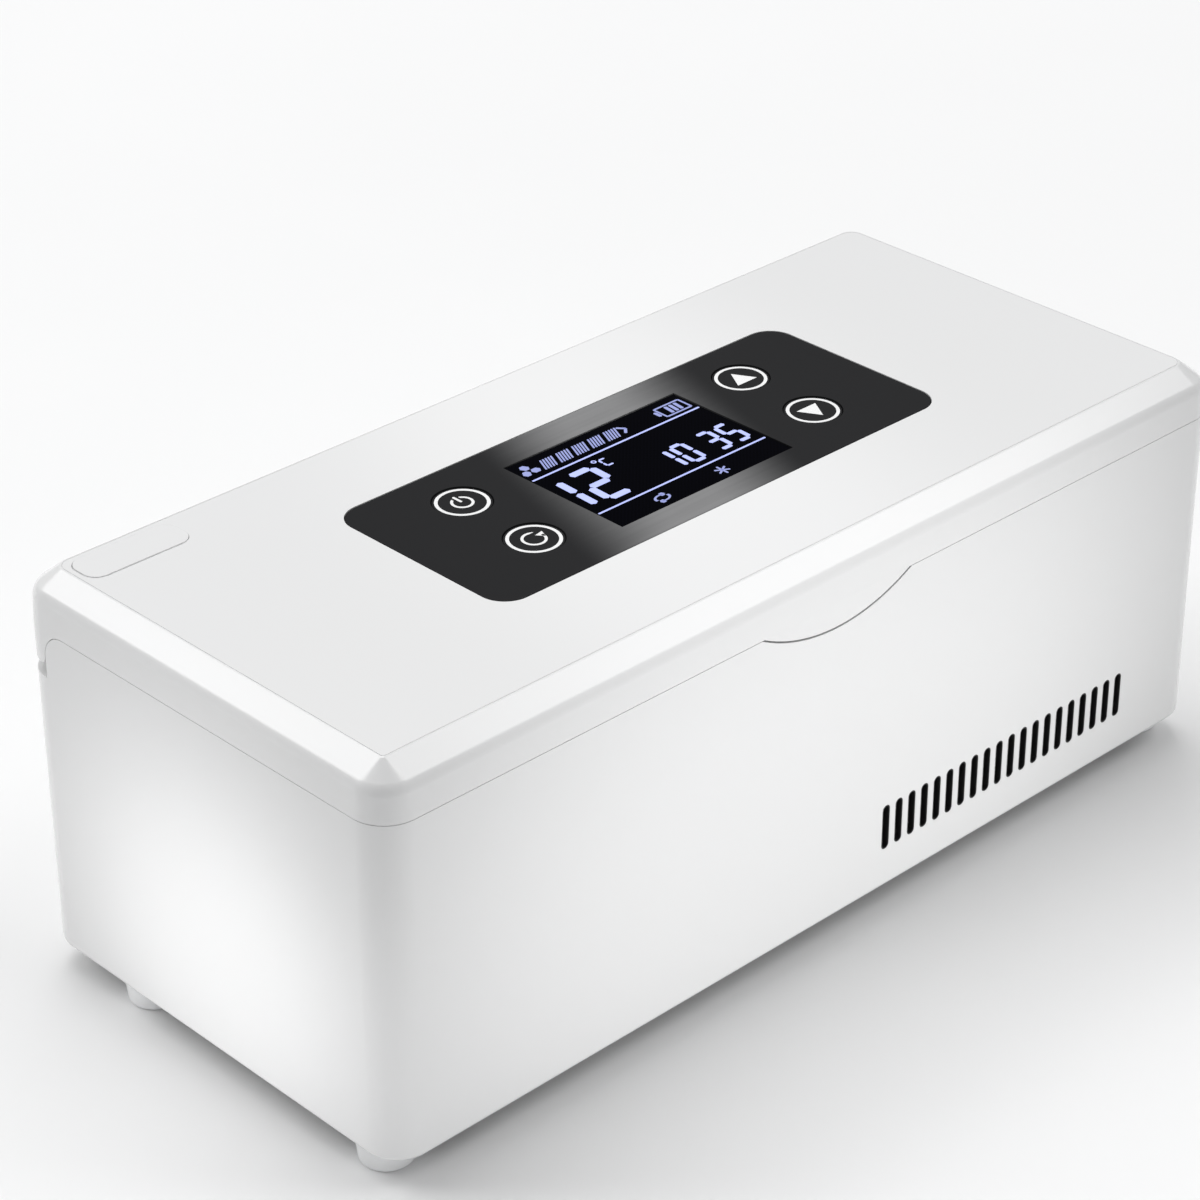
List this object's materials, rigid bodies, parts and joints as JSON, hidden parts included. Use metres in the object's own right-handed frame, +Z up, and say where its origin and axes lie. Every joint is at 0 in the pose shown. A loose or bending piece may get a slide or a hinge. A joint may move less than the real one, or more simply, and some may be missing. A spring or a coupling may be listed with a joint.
{
  "type": "insulin cooling case",
  "caption": "White portable cooling case for insulin pens, with a hinged lid, a control panel with display and round keys, warm-air vent slots low at the front and round feet.",
  "frame": {"origin": "on the table under the middle of the case, at the feet's under-faces", "axes": "+X along the length to the right as seen from the front, +Y to the rear where the hinge is, +Z up; the thumb tab and the vents face -Y"},
  "size_m": [0.2, 0.0908, 0.0775],
  "materials": {
    "white_gloss": "smooth gloss white",
    "white_plastic": "satin white",
    "black_gloss": "dark grey-black gloss",
    "display": "black display face",
    "black_plastic": "matte black",
    "aluminium": "satin aluminium",
    "steel": "plain steel",
    "foam": "closed-cell foam",
    "silicone": "milky silicone",
    "board": "green solder mask",
    "ceramic": "white ceramic",
    "cell_wrap": "blue shrink wrap"
  },
  "bodies": {
    "case": {"body_shell": "white_gloss", "bottom_cover": "white_plastic", "inner_deck": "white_plastic", "chamber_tray": "aluminium", "chamber_insulation": "foam", "cold_plate": "aluminium", "peltier_module": "ceramic", "heat_sink": "aluminium", "fan_frame": "black_plastic", "temperature_sensor": "black_plastic", "battery_cradle": "black_plastic", "main_board": "board", "dc_jack": "black_plastic", "catch_magnet_deck": "steel", "battery_cell_1": "cell_wrap", "battery_cell_2": "cell_wrap", "battery_cell_3": "cell_wrap", "foot_front_left": "silicone", "foot_front_right": "silicone", "foot_rear_left": "silicone", "foot_rear_right": "silicone", "cover_screw_1": "steel", "cover_screw_2": "steel", "cover_screw_3": "steel", "cover_screw_4": "steel", "hinge_pin_left": "steel", "hinge_pin_right": "steel"},
    "fan_rotor": {"fan_rotor": "black_plastic"},
    "lid": {"lid_cover": "white_gloss", "control_panel": "black_gloss", "lcd_module": "display", "display_board": "board", "lid_liner": "white_plastic", "lid_insulation": "foam", "lid_gasket": "silicone", "catch_magnet_lid": "steel", "liner_screw_1": "steel", "liner_screw_2": "steel", "liner_screw_3": "steel", "liner_screw_4": "steel", "key_switch_1": "black_plastic", "key_switch_2": "black_plastic", "key_switch_3": "black_plastic", "key_switch_4": "black_plastic"},
    "key_auto": {"key_auto": "black_gloss"},
    "key_power": {"key_power": "black_gloss"},
    "key_down": {"key_down": "black_gloss"},
    "key_up": {"key_up": "black_gloss"}
  },
  "joints": [
    {"name": "lid_hinge", "type": "hinge", "parent": "case", "child": "lid", "pos_m": [0, 0.0416, 0.0634], "axis": [-1, 0, 0], "range_deg": [0, 95]},
    {"name": "fan_spin", "type": "hinge", "parent": "case", "child": "fan_rotor", "pos_m": [0.045, -0.006, 0.0136], "axis": [0, 0, 1], "continuous": true},
    {"name": "key_auto_press", "type": "slide", "parent": "lid", "child": "key_auto", "axis": [0, 0, -1], "range_m": [0, 0.0004], "stiffness_N_per_m": 2000},
    {"name": "key_power_press", "type": "slide", "parent": "lid", "child": "key_power", "axis": [0, 0, -1], "range_m": [0, 0.0004], "stiffness_N_per_m": 2000},
    {"name": "key_down_press", "type": "slide", "parent": "lid", "child": "key_down", "axis": [0, 0, -1], "range_m": [0, 0.0004], "stiffness_N_per_m": 2000},
    {"name": "key_up_press", "type": "slide", "parent": "lid", "child": "key_up", "axis": [0, 0, -1], "range_m": [0, 0.0004], "stiffness_N_per_m": 2000}
  ]
}
